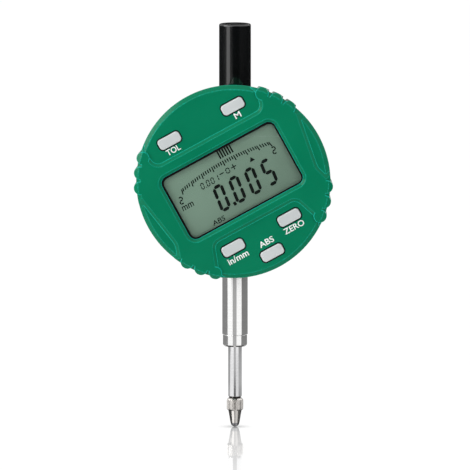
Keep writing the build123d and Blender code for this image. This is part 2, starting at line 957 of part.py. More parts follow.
head_pieces = {
    "front_housing": front_housing(),
    "window_lens": window_lens(),
    "lcd_panel": lcd_panel(),
    "lcd_frame": lcd_frame(),
    "contact_strips": contact_strips(),
    "main_board": main_board(),
    "driver_chip": driver_chip(),
    "cable_socket": cable_socket(),
    "switch_bodies": switch_bodies(),
    "battery": battery(),
    "battery_drawer": battery_drawer(),
    "battery_contacts": battery_contacts(),
    "head_back": head_back(),
    "head_screws": head_screws(),
}
for key_name, key_place in every_key.items():
    head_pieces[f"key_{key_name}"] = key_cap(key_place)
    head_pieces[f"plunger_{key_name}"] = key_plunger(key_place)

case_pieces = {
    "friction_washer": friction_washer(),
    "hub_retainer": hub_retainer(),
    "retainer_screws": retainer_screws(),
    "stop_pin": stop_pin(),
    "signal_cable": signal_cable(),
    "back_gasket": back_gasket(),
    "back_cover": back_cover(),
    "back_screws": back_screws(),
    "sensor_board": sensor_board(),
    "guide_rail": guide_rail(),
    "rail_screws": rail_screws(),
    "scale_strip": scale_strip(),
    "carrier_screw": carrier_screw(),
}

upright_pieces = {
    "rear_case": rear_case(),
    "stem": stem(),
    "stem_bush": stem_bush(),
    "upper_bush": upper_bush(),
    "spindle_cap": spindle_cap(),
    "spindle": spindle(),
    "contact_point": contact_point(),
    "contact_ball": contact_ball(),
    "scale_carrier": scale_carrier(),
    "guide_pin": guide_pin(),
    "lower_buffer": lower_buffer(),
    "return_spring": return_spring(),
}

pieces = {name: turned_head * piece for name, piece in head_pieces.items()}
pieces.update({name: upright * piece for name, piece in case_pieces.items()})
pieces.update(upright_pieces)

os.makedirs("parts", exist_ok=True)
for name, piece in pieces.items():
    export_step(piece, f"parts/{name}.step")
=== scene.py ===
"""Looks of a digital indicator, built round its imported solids.

Lengths are in metres, apart from those of the head's own drawing plane. That plane has x to the
right and y up as the display is read, in millimetres from the dial's centre, and its depth runs
towards the reader.
"""

import json
from math import cos, pi, radians, sin

import bpy
import numpy as np
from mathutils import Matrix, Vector


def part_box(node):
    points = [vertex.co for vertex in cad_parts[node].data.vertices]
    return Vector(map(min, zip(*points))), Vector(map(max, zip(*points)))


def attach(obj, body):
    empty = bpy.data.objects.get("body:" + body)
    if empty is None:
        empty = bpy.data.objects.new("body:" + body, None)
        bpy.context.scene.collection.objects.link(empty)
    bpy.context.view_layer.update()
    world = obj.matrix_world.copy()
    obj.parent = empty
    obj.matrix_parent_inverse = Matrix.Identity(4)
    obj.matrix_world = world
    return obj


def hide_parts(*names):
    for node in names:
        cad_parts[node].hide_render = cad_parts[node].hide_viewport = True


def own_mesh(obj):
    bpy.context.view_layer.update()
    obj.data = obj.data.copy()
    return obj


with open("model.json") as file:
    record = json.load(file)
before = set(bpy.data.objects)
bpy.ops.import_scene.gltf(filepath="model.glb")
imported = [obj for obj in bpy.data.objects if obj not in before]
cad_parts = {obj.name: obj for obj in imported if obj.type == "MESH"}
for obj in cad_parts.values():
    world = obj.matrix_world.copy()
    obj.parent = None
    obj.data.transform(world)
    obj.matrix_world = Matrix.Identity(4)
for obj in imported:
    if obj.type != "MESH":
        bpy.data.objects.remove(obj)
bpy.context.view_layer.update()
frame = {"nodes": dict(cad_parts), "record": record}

# The head's drawing plane: its place, and its directions in the part's own frame
MM = 0.001
DIAL_HEIGHT = 40.5
HEAD_ROLL = radians(28.8)
HEAD_ACROSS = (cos(HEAD_ROLL), 0.0, sin(HEAD_ROLL))
HEAD_UPWARD = (-sin(HEAD_ROLL), 0.0, cos(HEAD_ROLL))
FIELD_DEPTH = 17.4
LENS_DEPTH = 17.0
GLASS_DEPTH = 15.7
INK = 0.02

# Window, its black border, and the keyholes, in that plane. The border's shift widens it at the
# left and top as painted shadow of the window's edge.
WINDOW_SIZE = (40.4, 22.0)
WINDOW_ROUND = 2.4
WINDOW_PLACE = (-0.1, 0.55)
BORDER = 0.6
BORDER_SHADOW_SHIFT = (0.08, -0.1)
KEY_HOLE = (8.1, 4.05)
KEY_HOLE_ROUND = 1.4
KEY_HOLE_MARGIN = 0.12
KEY_PLACES = ((-11.3, 21.0), (11.35, 21.0), (-10.0, -18.2), (0.0, -25.4), (10.0, -18.2))

# Places in the part's own frame, in metres
TIP = -0.039
NECK_FLOOR = -0.0300
KEY_SIDE = -0.0176
# Height over which painted shade fades in, on the key sides and above the contact's neck
PAINTED_SHADE_FADE = 0.00015

# Return spring
COIL_RADIUS = 0.0035
COIL_TURNS = 8
COIL_STEPS = 32
WIRE_RADIUS = 0.0002
WIRE_SIDES = 10
DEAD_CLIMB = 2.1 * WIRE_RADIUS

# Colours
GREEN = (0.0005, 0.187, 0.091)
# Painted shade: dark green laid in the housing's gaps and round its keyholes
GREEN_PAINTED_SHADE = (0.0004, 0.020, 0.012)
# Painted highlight: paler green laid along the housing's edges
GREEN_PAINTED_HIGHLIGHT = (0.010, 0.60, 0.47)
DISPLAY_GREY = (0.240, 0.352, 0.275)
KEY_GREY = (0.57, 0.60, 0.605)
# Painted highlight: paler grey laid along the keys' edges
KEY_PAINTED_HIGHLIGHT = (0.85, 0.86, 0.85)
# Painted shade: near-black laid down the keys' sides inside the keyholes
KEY_PAINTED_SHADE = (0.015, 0.02, 0.018)
# Painted shade in the contact point's neck
NECK_PAINTED_SHADE = (0.07, 0.065, 0.06)
SOLDER_MASK = (0.012, 0.095, 0.032)
COPPER_UNDER_MASK = (0.05, 0.22, 0.07)
GLASS_FIBRE = (0.10, 0.14, 0.09)
BARE_COPPER = (0.55, 0.38, 0.16)
PINK_RUBBER = (0.42, 0.26, 0.25)
CARBON_RUBBER = (0.03, 0.03, 0.03)
WINDOW_TINT = (0.97, 0.99, 0.98)
PRINT_BLACK = (0.004, 0.005, 0.005)
PRINT_WHITE = (0.90, 0.92, 0.91)


# Placing and meshes


def stood(points, depth):
    """Points of the head's drawing plane, turned with the head and stood upright, in metres."""
    points = np.asarray(points, float)
    depth = np.broadcast_to(np.asarray(depth, float), points.shape[:-1])
    x = points[..., 0] * cos(HEAD_ROLL) - points[..., 1] * sin(HEAD_ROLL)
    z = points[..., 0] * sin(HEAD_ROLL) + points[..., 1] * cos(HEAD_ROLL) + DIAL_HEIGHT
    return np.stack([x, -depth, z], axis=-1) * MM


def mesh_piece(name, points, faces, material, smooth=False):
    """An object at the origin with its place in its mesh."""
    mesh = bpy.data.meshes.new(name)
    mesh.from_pydata(points.reshape(-1, 3).tolist(), [], [list(face) for face in faces])
    mesh.polygons.foreach_set("use_smooth", np.full(len(mesh.polygons), smooth))
    mesh.materials.append(material)
    mesh.update()
    piece = bpy.data.objects.new(name, mesh)
    bpy.context.scene.collection.objects.link(piece)
    return piece


def prisms(outlines, low, high):
    """Closed prisms over flat outlines of equal corner count, given counter-clockwise.

    Each outline gives a front ring at depth high and a back ring at depth low. The front face
    runs as the outline does, the back face the other way, and a side joins corner k to k + 1.
    """
    outlines = np.asarray(outlines, float)
    count, corners = outlines.shape[:2]
    points = np.concatenate([stood(outlines, high), stood(outlines, low)], axis=1)
    ring = np.arange(corners)
    after = (ring + 1) % corners
    start = 2 * corners * np.arange(count)[:, None]
    fronts = (start + ring).tolist()
    backs = (start + corners + ring[::-1]).tolist()
    sides = np.stack([ring, corners + ring, corners + after, after], axis=-1)
    sides = (start[:, :, None] + sides).reshape(-1, 4).tolist()
    return points.reshape(-1, 3), fronts + backs + sides


def joined(shapes):
    """One set of points and faces from several."""
    points, faces, first = [], [], 0
    for shape_points, shape_faces in shapes:
        points.append(shape_points)
        faces += [[first + corner for corner in face] for face in shape_faces]
        first += len(shape_points)
    return np.concatenate(points), faces


def rounded_outline(size, corner, steps=10):
    """Points round a rectangle with round corners: each corner is a quarter of a circle."""
    turn = np.linspace(0, pi / 2, steps)
    quarter = corner * np.stack([np.cos(turn), np.sin(turn)], axis=-1)
    half = np.array(size) / 2 - corner
    corners = []
    for sign_x, sign_y, start in ((1, 1, 0), (-1, 1, 1), (-1, -1, 2), (1, -1, 3)):
        angle = start * pi / 2
        spin = np.array([[cos(angle), sin(angle)], [-sin(angle), cos(angle)]])
        corners.append(quarter @ spin + half * (sign_x, sign_y))
    return np.concatenate(corners)


def rimmed_ring(outer, inner, low, high):
    """A flat ring with a square section: four rings of points joined round and closed."""
    rings = [stood(outer, high), stood(inner, high), stood(inner, low), stood(outer, low)]
    points = np.concatenate(rings)
    count = len(outer)
    index = np.arange(count)
    after = (index + 1) % count
    faces = []
    for ring in range(4):
        here, there = ring * count, (ring + 1) % 4 * count
        faces += np.stack([here + index, here + after, there + after, there + index], -1).tolist()
    return points, faces


# Shader tools


def node(tree, kind, **settings):
    """A new shader node with its settings."""
    made = tree.nodes.new(kind)
    for key, value in settings.items():
        setattr(made, key, value)
    return made


def feed(tree, socket, source):
    """Gives an input its source, which is another node's output or a plain value."""
    if isinstance(source, bpy.types.NodeSocket):
        tree.links.new(source, socket)
    else:
        socket.default_value = source


def worked(tree, operation, *sources):
    """The result of one step of arithmetic."""
    made = node(tree, "ShaderNodeMath", operation=operation)
    for socket, source in zip(made.inputs, sources):
        feed(tree, socket, source)
    return made.outputs[0]


def vector_worked(tree, operation, *sources):
    """The result of one step of arithmetic on vectors."""
    made = node(tree, "ShaderNodeVectorMath", operation=operation)
    for socket, source in zip(made.inputs, sources):
        feed(tree, socket, source)
    return made.outputs["Value" if operation in ("DOT_PRODUCT", "LENGTH") else "Vector"]


def ramp(tree, source, start, end, low=0.0, high=1.0):
    """A value that goes from low to high while the source goes from start to end."""
    made = node(tree, "ShaderNodeMapRange", clamp=True)
    for name, value in (("From Min", start), ("From Max", end), ("To Min", low), ("To Max", high)):
        made.inputs[name].default_value = value
    feed(tree, made.inputs["Value"], source)
    return made.outputs[0]


def noise(tree, place, scale, detail):
    """Noise at a place."""
    made = node(tree, "ShaderNodeTexNoise")
    for name, source in (("Vector", place), ("Scale", scale), ("Detail", detail)):
        feed(tree, made.inputs[name], source)
    return made.outputs[0]


def mixed(tree, share, first, second):
    """A colour between two, each of them an output or a plain colour."""
    blend = node(tree, "ShaderNodeMix", data_type="RGBA")
    feed(tree, blend.inputs["Factor"], share)
    for socket, colour in ((blend.inputs[6], first), (blend.inputs[7], second)):
        feed(tree, socket, (*colour, 1.0) if isinstance(colour, tuple) else colour)
    return blend.outputs[2]


def layered(tree, share, under, over):
    """A shader with a share of another laid over it."""
    mix = node(tree, "ShaderNodeMixShader")
    for socket, source in zip(mix.inputs, (share, under, over)):
        feed(tree, socket, source)
    return mix.outputs[0]


def own_place(tree):
    """A point's place in the part's own frame."""
    return node(tree, "ShaderNodeTexCoord").outputs["Object"]


def seen_ray(tree):
    """1 for rays by which the background is seen: straight, mirrored or through glass."""
    path = node(tree, "ShaderNodeLightPath")
    rays = [path.outputs[f"Is {kind} Ray"] for kind in ("Camera", "Glossy", "Transmission")]
    return worked(tree, "MAXIMUM", worked(tree, "MAXIMUM", *rays[:2]), rays[2])


# Shared masks and patterns


def group(name, inputs, outputs):
    """A shader group with its input and output nodes."""
    tree = bpy.data.node_groups.new(name, "ShaderNodeTree")
    for kind, label, value in inputs:
        made = tree.interface.new_socket(label, in_out="INPUT", socket_type=kind)
        made.default_value = value
    for kind, label in outputs:
        tree.interface.new_socket(label, in_out="OUTPUT", socket_type=kind)
    return tree, tree.nodes.new("NodeGroupInput"), tree.nodes.new("NodeGroupOutput")


def make_grain():
    """Fine moulded or painted grain: two noises, a broad one for tone and a fine one for height."""
    tree, source, result = group(
        "fine_grain",
        [("NodeSocketFloat", "Scale", 1500.0), ("NodeSocketFloat", "Patch Scale", 60.0)],
        [("NodeSocketFloat", "Height"), ("NodeSocketFloat", "Patches")],
    )
    place = own_place(tree)
    for scale, detail, output in (("Scale", 3.0, "Height"), ("Patch Scale", 2.0, "Patches")):
        feed(tree, result.inputs[output], noise(tree, place, source.outputs[scale], detail))
    return tree


def make_turning():
    """Marks of a turned or ground bar: noise squeezed along the spindle into fine rings."""
    tree, source, result = group(
        "turning_marks",
        [("NodeSocketFloat", "Rings", 6000.0), ("NodeSocketFloat", "Round", 150.0)],
        [("NodeSocketFloat", "Height"), ("NodeSocketFloat", "Streaks")],
    )
    stretch = node(tree, "ShaderNodeCombineXYZ")
    for socket, scale in zip(stretch.inputs, ("Round", "Round", "Rings")):
        feed(tree, socket, source.outputs[scale])
    squeezed = vector_worked(tree, "MULTIPLY", own_place(tree), stretch.outputs[0])
    for scale, detail, output in ((1.0, 3.0, "Height"), (0.3, 2.0, "Streaks")):
        feed(tree, result.inputs[output], noise(tree, squeezed, scale, detail))
    return tree


def make_soft_edges(edge_likeness=0.97):
    """Rounded-edge normals, and a mask of the edges where they turn from the flat normal."""
    tree, source, result = group(
        "soft_edges",
        [("NodeSocketFloat", "Radius", 0.0001)],
        [("NodeSocketVector", "Normal"), ("NodeSocketFloat", "Edge")],
    )
    bevel = node(tree, "ShaderNodeBevel", samples=6)
    feed(tree, bevel.inputs["Radius"], source.outputs["Radius"])
    flat = node(tree, "ShaderNodeNewGeometry").outputs["Normal"]
    likeness = vector_worked(tree, "DOT_PRODUCT", bevel.outputs[0], flat)
    feed(tree, result.inputs["Normal"], bevel.outputs[0])
    feed(tree, result.inputs["Edge"], ramp(tree, likeness, 1.0, edge_likeness))
    return tree


def make_deep_gaps(half_open=0.62, nearly_shut=0.25):
    """A mask of narrow gaps and inside corners, from how little open space a point sees, for
    painting shade there.
    """
    tree, source, result = group(
        "deep_gaps",
        [("NodeSocketFloat", "Reach", 0.0012)],
        [("NodeSocketFloat", "Mask")],
    )
    openness = node(tree, "ShaderNodeAmbientOcclusion", samples=8)
    feed(tree, openness.inputs["Distance"], source.outputs["Reach"])
    mask = ramp(tree, openness.outputs["AO"], half_open, nearly_shut)
    feed(tree, result.inputs["Mask"], mask)
    return tree


def make_key_surrounds():
    """A mask of the keyholes with a narrow margin round them, for a line of painted shade round
    each.

    A point of the head's plane is measured from each key's centre, less the straight half sizes
    of its hole. What is left over has the length of the distance to that hole's inner corners,
    and the least of these, less the hole's rounding, is the distance to the nearest keyhole.
    """
    tree, source, result = group(
        "key_surrounds",
        [("NodeSocketFloat", "Margin", 0.0002)],
        [("NodeSocketFloat", "Mask")],
    )
    place = own_place(tree)
    plane = node(tree, "ShaderNodeCombineXYZ")
    for socket, axis in zip(plane.inputs, (HEAD_ACROSS, HEAD_UPWARD)):
        along = vector_worked(tree, "DOT_PRODUCT", place, axis)
        feed(tree, socket, worked(tree, "SUBTRACT", along, axis[2] * DIAL_HEIGHT * MM))
    straight = (np.array(KEY_HOLE) / 2 - KEY_HOLE_ROUND) * MM
    least = None
    for x, y in KEY_PLACES:
        apart = vector_worked(tree, "SUBTRACT", plane.outputs[0], (x * MM, y * MM, 0.0))
        size = vector_worked(tree, "ABSOLUTE", apart)
        over = vector_worked(tree, "SUBTRACT", size, (*straight, 0.0))
        outside = vector_worked(tree, "MAXIMUM", over, (0.0, 0.0, 0.0))
        reach = vector_worked(tree, "LENGTH", outside)
        least = reach if least is None else worked(tree, "MINIMUM", least, reach)
    beyond = worked(tree, "SUBTRACT", least, KEY_HOLE_ROUND * MM)
    inside = worked(tree, "LESS_THAN", beyond, source.outputs["Margin"])
    feed(tree, result.inputs["Mask"], inside)
    return tree


def make_traces(run_width=0.07, pad_radius=0.16):
    """Copper runs of a circuit board: borders of stretched cells, and rings round small pads."""
    tree, source, result = group(
        "board_traces",
        [("NodeSocketFloat", "Scale", 420.0)],
        [("NodeSocketFloat", "Mask")],
    )
    place = own_place(tree)
    runs = node(tree, "ShaderNodeTexVoronoi", feature="DISTANCE_TO_EDGE", distance="CHEBYCHEV")
    pads = node(tree, "ShaderNodeTexVoronoi")
    masks = []
    for cells, width in ((runs, run_width), (pads, pad_radius)):
        feed(tree, cells.inputs["Vector"], place)
        feed(tree, cells.inputs["Scale"], source.outputs["Scale"])
        masks.append(worked(tree, "LESS_THAN", cells.outputs["Distance"], width))
    feed(tree, result.inputs["Mask"], worked(tree, "MAXIMUM", *masks))
    return tree


def make_stripes():
    """Even stripes across one axis of the part's own frame, half dark and half clear."""
    tree, source, result = group(
        "even_stripes",
        [("NodeSocketVector", "Axis", (0.0, 0.0, 1.0)), ("NodeSocketFloat", "Pitch", 0.001)],
        [("NodeSocketFloat", "Mask")],
    )
    along = vector_worked(tree, "DOT_PRODUCT", own_place(tree), source.outputs["Axis"])
    turns = worked(tree, "DIVIDE", along, source.outputs["Pitch"])
    mask = worked(tree, "LESS_THAN", worked(tree, "FRACT", turns), 0.5)
    feed(tree, result.inputs["Mask"], mask)
    return tree


GRAIN = make_grain()
TURNING = make_turning()
SOFT_EDGES = make_soft_edges()
DEEP_GAPS = make_deep_gaps()
KEY_SURROUNDS = make_key_surrounds()
TRACES = make_traces()
STRIPES = make_stripes()


def placed(tree, shared, **values):
    """A shared group in a material, with its inputs set by name."""
    made = tree.nodes.new("ShaderNodeGroup")
    made.node_tree = shared
    for key, value in values.items():
        made.inputs[key.replace("_", " ").title()].default_value = value
    return made


# Finishes

MOULDED_TONES, MOULDED_SPREAD = (0.94, 1.05), (0.88, 1.12)
MACHINED_TONES, MACHINED_SPREAD = (0.95, 1.04), (0.80, 1.25)
GRAIN_HEIGHT = 0.00005
RING_HEIGHT = 0.00002
NOISE_LOW, NOISE_HIGH = 0.3, 0.7


def start_material(name, **constants):
    """A material whose shader has its constant values set by name."""
    material = bpy.data.materials.new(name)
    material.use_nodes = True
    shader = material.node_tree.nodes["Principled BSDF"]
    for key, value in constants.items():
        shader.inputs[key.replace("_", " ")].default_value = value
    return material, material.node_tree, shader


def surfaced(tree, look):
    """Puts a shader on the material's surface."""
    feed(tree, tree.nodes["Material Output"].inputs["Surface"], look)


def patchy(tree, shader, mask, colour, tones, rough, spread):
    """Varies the roughness about its value over a noise mask, and gives the tone that does so."""
    roughness = ramp(tree, mask, NOISE_LOW, NOISE_HIGH, rough * spread[0], rough * spread[1])
    feed(tree, shader.inputs["Roughness"], roughness)
    dark, light = (tuple(min(1.0, channel * tone) for channel in colour) for tone in tones)
    return mixed(tree, ramp(tree, mask, NOISE_LOW, NOISE_HIGH), dark, light)


def raised_by(tree, shader, height, distance, strength, edge_radius):
    """Feeds the shader's normal, rounded edges first and then the bump, and gives the edge mask."""
    edges = placed(tree, SOFT_EDGES, radius=edge_radius)
    bump = node(tree, "ShaderNodeBump")
    for name, source in (("Strength", strength), ("Distance", distance), ("Height", height),
                         ("Normal", edges.outputs["Normal"])):
        feed(tree, bump.inputs[name], source)
    feed(tree, shader.inputs["Normal"], bump.outputs[0])
    return edges.outputs["Edge"]


def moulded(name, colour, rough=0.35, gloss=0.5, grain=1500.0, strength=0.1, edge=0.0001,
            painted_highlight=None):
    """Moulded plastic, paint or rubber: grain in its surface, slow patches in its tone, and a
    painted highlight along its edges if one is given.
    """
    material, tree, shader = start_material(name, Specular_IOR_Level=gloss)
    pattern = placed(tree, GRAIN, scale=grain)
    tone = patchy(tree, shader, pattern.outputs["Patches"], colour, MOULDED_TONES, rough,
                  MOULDED_SPREAD)
    rounded = raised_by(tree, shader, pattern.outputs["Height"], GRAIN_HEIGHT, strength, edge)
    # Painted highlight: a paler colour laid along the rounded edges, where the edge mask is 1
    if painted_highlight:
        tone = mixed(tree, rounded, tone, painted_highlight)
    feed(tree, shader.inputs["Base Color"], tone)
    return material


def machined(name, colour, rough=0.15, strength=0.1):
    """Turned or ground metal: fine rings round the spindle's direction."""
    material, tree, shader = start_material(name, Metallic=1.0)
    pattern = placed(tree, TURNING, rings=6000.0)
    tone = patchy(tree, shader, pattern.outputs["Streaks"], colour, MACHINED_TONES, rough,
                  MACHINED_SPREAD)
    raised_by(tree, shader, pattern.outputs["Height"], RING_HEIGHT, strength, 0.00008)
    feed(tree, shader.inputs["Base Color"], tone)
    return material


def place_mask(tree, axis, start, end):
    """A mask from 0 at one place along an axis of the part's own frame to 1 at another."""
    apart = node(tree, "ShaderNodeSeparateXYZ")
    feed(tree, apart.inputs[0], own_place(tree))
    return ramp(tree, apart.outputs[axis], start, end)


def base_of(material):
    """The shader's base colour input and what feeds it."""
    base = material.node_tree.nodes["Principled BSDF"].inputs["Base Color"]
    return base, base.links[0].from_socket


def overlaid(material, mask, colour):
    """Lays a colour over the material's base colour where the mask is 1."""
    base, tone = base_of(material)
    feed(material.node_tree, base, mixed(material.node_tree, mask, tone, colour))


def housing_finish():
    """Glossy green moulding, with a painted highlight along its edges and painted shade in the gaps
    round keys and ribs.
    """
    material = moulded("housing_green", GREEN, rough=0.22, gloss=0.12, strength=0.03, edge=0.00025,
                       painted_highlight=GREEN_PAINTED_HIGHLIGHT)
    tree = material.node_tree
    # Painted shade: dark green in narrow gaps and inside corners, and in a thin line round each
    # keyhole
    for shared, values in (
        (DEEP_GAPS, {"reach": 0.0012}),
        (KEY_SURROUNDS, {"margin": KEY_HOLE_MARGIN * MM}),
    ):
        overlaid(material, placed(tree, shared, **values).outputs["Mask"], GREEN_PAINTED_SHADE)
    return material


def board_finish():
    """Green solder mask over copper runs, which show through it as paler lines."""
    material = moulded("board_green", SOLDER_MASK, rough=0.3)
    traces = placed(material.node_tree, TRACES, scale=420.0)
    overlaid(material, traces.outputs["Mask"], COPPER_UNDER_MASK)
    return material


def striped(material, axis, pitch, colour):
    """Adds even stripes of a colour to a material."""
    stripes = placed(material.node_tree, STRIPES, axis=axis, pitch=pitch)
    overlaid(material, stripes.outputs["Mask"], colour)
    return material


def scale_finish():
    """The measuring strip: grey glass fibre with fine copper bars across its length."""
    glass = moulded("scale_glass", GLASS_FIBRE, rough=0.25)
    return striped(glass, (0.0, 0.0, 1.0), 0.00064, BARE_COPPER)


def strip_finish():
    """Elastomer strips: thin dark conducting layers between pink insulating ones."""
    rubber = moulded("strip_rubber", PINK_RUBBER, rough=0.7)
    return striped(rubber, HEAD_ACROSS, 0.0002, CARBON_RUBBER)


def key_finish():
    """Light grey key caps, with a painted highlight along their edges and painted shade down their
    sides in the keyholes.
    """
    material = moulded("key_grey", KEY_GREY, rough=0.35, gloss=0.4, strength=0.04, edge=0.0003,
                       painted_highlight=KEY_PAINTED_HIGHLIGHT)
    sides = place_mask(material.node_tree, "Y", KEY_SIDE, KEY_SIDE + PAINTED_SHADE_FADE)
    # Painted shade: the keys' sides below the field, inside the keyholes, are darkened
    overlaid(material, sides, KEY_PAINTED_SHADE)
    return material


def display_finish(light_slope=(-7.0, 0.0, 4.5), tone_level=0.60):
    """The display's grey polariser, with painted light that makes it a little paler towards its
    upper left.

    The tone is multiplied by a level, plus a slope along the part's own frame.
    """
    material = moulded("display_glass", DISPLAY_GREY, rough=0.3, gloss=0.3, strength=0.02)
    tree = material.node_tree
    base, tone = base_of(material)
    # Painted light: a slope in tone, paler towards the upper left
    rise = vector_worked(tree, "DOT_PRODUCT", own_place(tree), light_slope)
    level = worked(tree, "ADD", rise, tone_level)
    feed(tree, base, vector_worked(tree, "MULTIPLY", tone, level))
    return material


def contact_finish():
    """The contact point's ground steel, with painted shade in the neck above its knurled collar."""
    material = machined("contact_steel", (0.92, 0.88, 0.84), rough=0.2, strength=0.03)
    neck = place_mask(material.node_tree, "Z", NECK_FLOOR, NECK_FLOOR + PAINTED_SHADE_FADE)
    # Painted shade: the contact point above the neck floor is laid dark
    overlaid(material, neck, NECK_PAINTED_SHADE)
    return material


def clear_window():
    """Clear plastic that lets light and shadow rays pass straight to the display."""
    material, tree, shader = start_material(
        "window_clear", Transmission_Weight=1.0, Roughness=0.0, IOR=1.49, Metallic=0.0
    )
    through = node(tree, "ShaderNodeBsdfTransparent")
    for tinted in (shader.inputs["Base Color"], through.inputs[0]):
        tinted.default_value = (*WINDOW_TINT, 1.0)
    path = node(tree, "ShaderNodeLightPath")
    passing = worked(tree, "MAXIMUM", path.outputs["Is Shadow Ray"],
                     path.outputs["Is Diffuse Ray"])
    window = layered(tree, passing, shader.outputs[0], through.outputs[0])
    surfaced(tree, window)
    return material


finishes = {
    "housing_green": housing_finish(),
    "case_paint": moulded("case_paint", (0.022, 0.022, 0.024), rough=0.42, grain=2500.0,
                          strength=0.25),
    "back_plastic": moulded("back_plastic", (0.02, 0.02, 0.021), rough=0.5, grain=1800.0,
                            strength=0.3),
    "window_clear": clear_window(),
    "display_glass": display_finish(),
    "frame_plastic": moulded("frame_plastic", (0.012, 0.012, 0.012), rough=0.5),
    "strip_rubber": strip_finish(),
    "board_green": board_finish(),
    "chip_black": moulded("chip_black", (0.012, 0.012, 0.013), rough=0.55),
    "socket_plastic": moulded("socket_plastic", (0.62, 0.58, 0.47), rough=0.45),
    "switch_plastic": moulded("switch_plastic", (0.02, 0.02, 0.02), rough=0.5),
    "plunger_plastic": moulded("plunger_plastic", (0.42, 0.06, 0.04), rough=0.4),
    "key_grey": key_finish(),
    "battery_can": machined("battery_can", (0.72, 0.71, 0.68), rough=0.25),
    "spring_steel": machined("spring_steel", (0.55, 0.55, 0.56), rough=0.25),
    "screw_steel": machined("screw_steel", (0.45, 0.45, 0.46), rough=0.3),
    "fitting_steel": machined("fitting_steel", (0.55, 0.55, 0.56), rough=0.28),
    "stem_steel": machined("stem_steel", (0.925, 0.925, 0.92), rough=0.07, strength=0.05),
    "spindle_steel": machined("spindle_steel", (0.90, 0.90, 0.91), rough=0.10, strength=0.05),
    "contact_steel": contact_finish(),
    "ball_carbide": machined("ball_carbide", (0.38, 0.38, 0.40), rough=0.08),
    "bush_brass": machined("bush_brass", (0.72, 0.55, 0.25), rough=0.25),
    "cap_black": moulded("cap_black", (0.002, 0.0025, 0.003), rough=0.13, gloss=0.9, strength=0.02),
    "seal_rubber": moulded("seal_rubber", (0.015, 0.015, 0.015), rough=0.7),
    "cable_sheath": moulded("cable_sheath", (0.02, 0.02, 0.02), rough=0.55),
    "guide_plastic": moulded("guide_plastic", (0.72, 0.72, 0.68), rough=0.4),
    "carrier_alloy": machined("carrier_alloy", (0.70, 0.70, 0.71), rough=0.35),
    "scale_glass": scale_finish(),
}
label_white = moulded("label_white", PRINT_WHITE, rough=0.5, gloss=0.3)
segment_black = moulded("segment_black", PRINT_BLACK, rough=0.4, gloss=0.1)
border_black = moulded("border_black", PRINT_BLACK, rough=0.45, gloss=0.1)

for row in frame["record"]["subparts"]:
    for place in frame["nodes"][row["node"]].material_slots:
        place.material = finishes[row["material_slot"]]


# Marks of the display and words at the keys. Places and sizes are in the head's plane.

SEGMENTS = {"0": "abcdef", "1": "bc", "2": "abged", "5": "afgcd"}
ARC_MIDDLE = 0.1
ARC_TOP = 7.4
ARC_RADIUS = 78.0
TICKS_EACH_SIDE = 20
TICK_PITCH = 0.815
TICK_WIDTH = 0.37
LONG_TICK, SHORT_TICK = 1.75, 1.15
THIN = 0.32

# Size, base, stroke and slant of each kind of digit, and where each digit starts
READING = {"size": (3.6, 8.55), "base": -7.0, "stroke": 1.02, "slant": 0.12,
           "digits": (("0", -8.0), ("0", -2.4), ("0", 3.2), ("5", 8.9))}
STEP = {"size": (1.15, 2.1), "base": 2.3, "stroke": 0.3, "slant": 0.1,
        "digits": (("0", -9.9), ("0", -7.9), ("0", -6.3), ("1", -4.7))}
ZERO_MARK = {"size": (1.4, 1.75), "base": 3.0, "stroke": 0.3, "slant": 0.05,
             "digits": (("0", -0.65),)}
SCALE_ENDS = {"size": (1.5, 2.5), "base": 1.3, "stroke": 0.4, "slant": 0.08,
              "digits": (("2", -18.1), ("2", 15.1))}

# Single bars: place of the lower middle, width, height and lean
POINTER_BARS = tuple((0.03 + 0.865 * index, 8.15, 0.5, 3.4, 0.0) for index in range(6))
PLUS = ((2.3, 3.15, THIN, 1.8, 0.0), (2.3, 3.89, 1.8, THIN, 0.0))
MINUS = ((-2.05, 3.8, 1.5, THIN, 0.0),)
READING_POINT = ((-2.85, -6.9, 0.95, 1.15, -0.11),)
STEP_POINT = ((-8.2, 2.3, 0.3, 0.3, 0.0),)
ARROW = ((7.5, 2.8), (9.3, 2.8), (8.4, 4.2))

# Boxes that words fill: left, right, bottom and top
DISPLAY_WORDS = {"mm": (-18.3, -14.3, -0.75, 0.75), "ABS": (-12.2, -7.8, -9.4, -7.8)}
DISPLAY_BOLD, DISPLAY_LEAN = 0.01, 0.1
KEY_WORDS = {
    "TOL": (-14.0, -9.3, 16.9, 18.8),
    "M": (10.3, 12.4, 16.9, 18.8),
    "in/mm": (-13.6, -6.6, -22.6, -20.5),
    "ABS": (-2.5, 2.5, -22.5, -20.6),
    "ZERO": (6.4, 13.4, -22.5, -20.6),
}
KEY_BOLD = 0.016


def bar(x, y, wide, tall, lean):
    """A leaning bar as four corners, from its lower middle."""
    corners = np.array([(-wide / 2, 0), (wide / 2, 0), (wide / 2, tall), (-wide / 2, tall)])
    spin = np.array([[cos(lean), -sin(lean)], [sin(lean), cos(lean)]])
    return corners @ spin + (x, y)


def seven_segment(digit, x, y, size, stroke, slant):
    """Lit segments of one digit as six-cornered bars, leaning by the slant.

    A segment lies between two corners of the digit's centre lines, pointed at both ends and
    drawn in by a small gap. The slant moves a point right in proportion to its height.
    """
    wide, tall = size
    gap = 0.09 * stroke
    left, right = stroke / 2, wide - stroke / 2
    low, middle, high = stroke / 2, tall / 2, tall - stroke / 2
    spans = {
        "a": ((left, high), (right, high)),
        "b": ((right, middle), (right, high)),
        "c": ((right, low), (right, middle)),
        "d": ((left, low), (right, low)),
        "e": ((left, low), (left, middle)),
        "f": ((left, middle), (left, high)),
        "g": ((left, middle), (right, middle)),
    }
    outlines = []
    for name in SEGMENTS[digit]:
        start, end = (np.array(point, float) for point in spans[name])
        along = (end - start) / np.linalg.norm(end - start)
        across = np.array([-along[1], along[0]]) * stroke / 2
        start, end = start + along * gap, end - along * gap
        step = along * stroke / 2
        outlines.append([start, start + step - across, end - step - across,
                         end, end - step + across, start + step + across])
    outlines = np.array(outlines)
    outlines[..., 0] += slant * outlines[..., 1]
    return outlines + (x, y)


